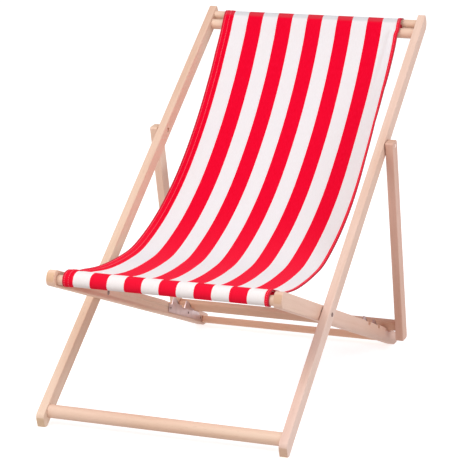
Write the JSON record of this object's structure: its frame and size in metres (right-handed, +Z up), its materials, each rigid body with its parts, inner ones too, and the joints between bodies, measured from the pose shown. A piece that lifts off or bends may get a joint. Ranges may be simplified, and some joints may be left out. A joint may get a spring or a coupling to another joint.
{
  "type": "folding deck chair",
  "caption": "Folding deck chair: a wooden main frame, seat frame and prop frame on pivots, with a notched steel-plated rack and a striped canvas sling between dowels.",
  "frame": {"origin": "on the floor, at the middle of the chair's footprint box in X and Y", "axes": "+Z up, +Y to the back of the chair, +X to the right-hand side as seen from the front; left and right in node names are as seen from the front"},
  "size_m": [0.5812, 1.0152, 0.7639],
  "materials": {
    "beech": "sanded, clear satin",
    "steel": "zinc plated, dull",
    "canvas": "woven canvas, red and white stripes"
  },
  "bodies": {
    "main_frame": {"main_rail_left": "beech", "main_rail_right": "beech", "foot_bar": "beech", "top_bar": "beech", "top_sling_dowel": "beech", "sling": "canvas", "seat_pivot_bolt_left": "steel", "seat_pivot_bolt_right": "steel", "seat_pivot_washer_left": "steel", "seat_pivot_washer_right": "steel", "prop_pivot_nut_left": "steel", "prop_pivot_nut_right": "steel", "prop_pivot_washer_left": "steel", "prop_pivot_washer_right": "steel"},
    "seat_frame": {"seat_rail_left": "beech", "seat_rail_right": "beech", "seat_rear_bar": "beech", "front_sling_dowel": "beech", "rack_plate_left": "steel", "rack_plate_right": "steel", "rack_nail_left_1": "steel", "rack_nail_left_2": "steel", "rack_nail_left_3": "steel", "rack_nail_right_1": "steel", "rack_nail_right_2": "steel", "rack_nail_right_3": "steel", "seat_pivot_nut_left": "steel", "seat_pivot_nut_right": "steel"},
    "prop_frame": {"prop_strut_left": "beech", "prop_strut_right": "beech", "prop_bar": "beech", "prop_pivot_bolt_left": "steel", "prop_pivot_bolt_right": "steel"}
  },
  "joints": [
    {"name": "seat_fold", "type": "hinge", "parent": "main_frame", "child": "seat_frame", "pos_m": [0, -0.21803, 0.21823], "axis": [1, 0, 0], "range_deg": [0, 55.4], "deforming": ["sling"]},
    {"name": "prop_fold", "type": "hinge", "parent": "main_frame", "child": "prop_frame", "pos_m": [0, 0.17663, 0.50866], "axis": [1, 0, 0], "range_deg": [0, 110]}
  ],
  "couplings": [
    {"joint": "prop_fold", "follows": "seat_fold", "ratio": 1.985}
  ]
}
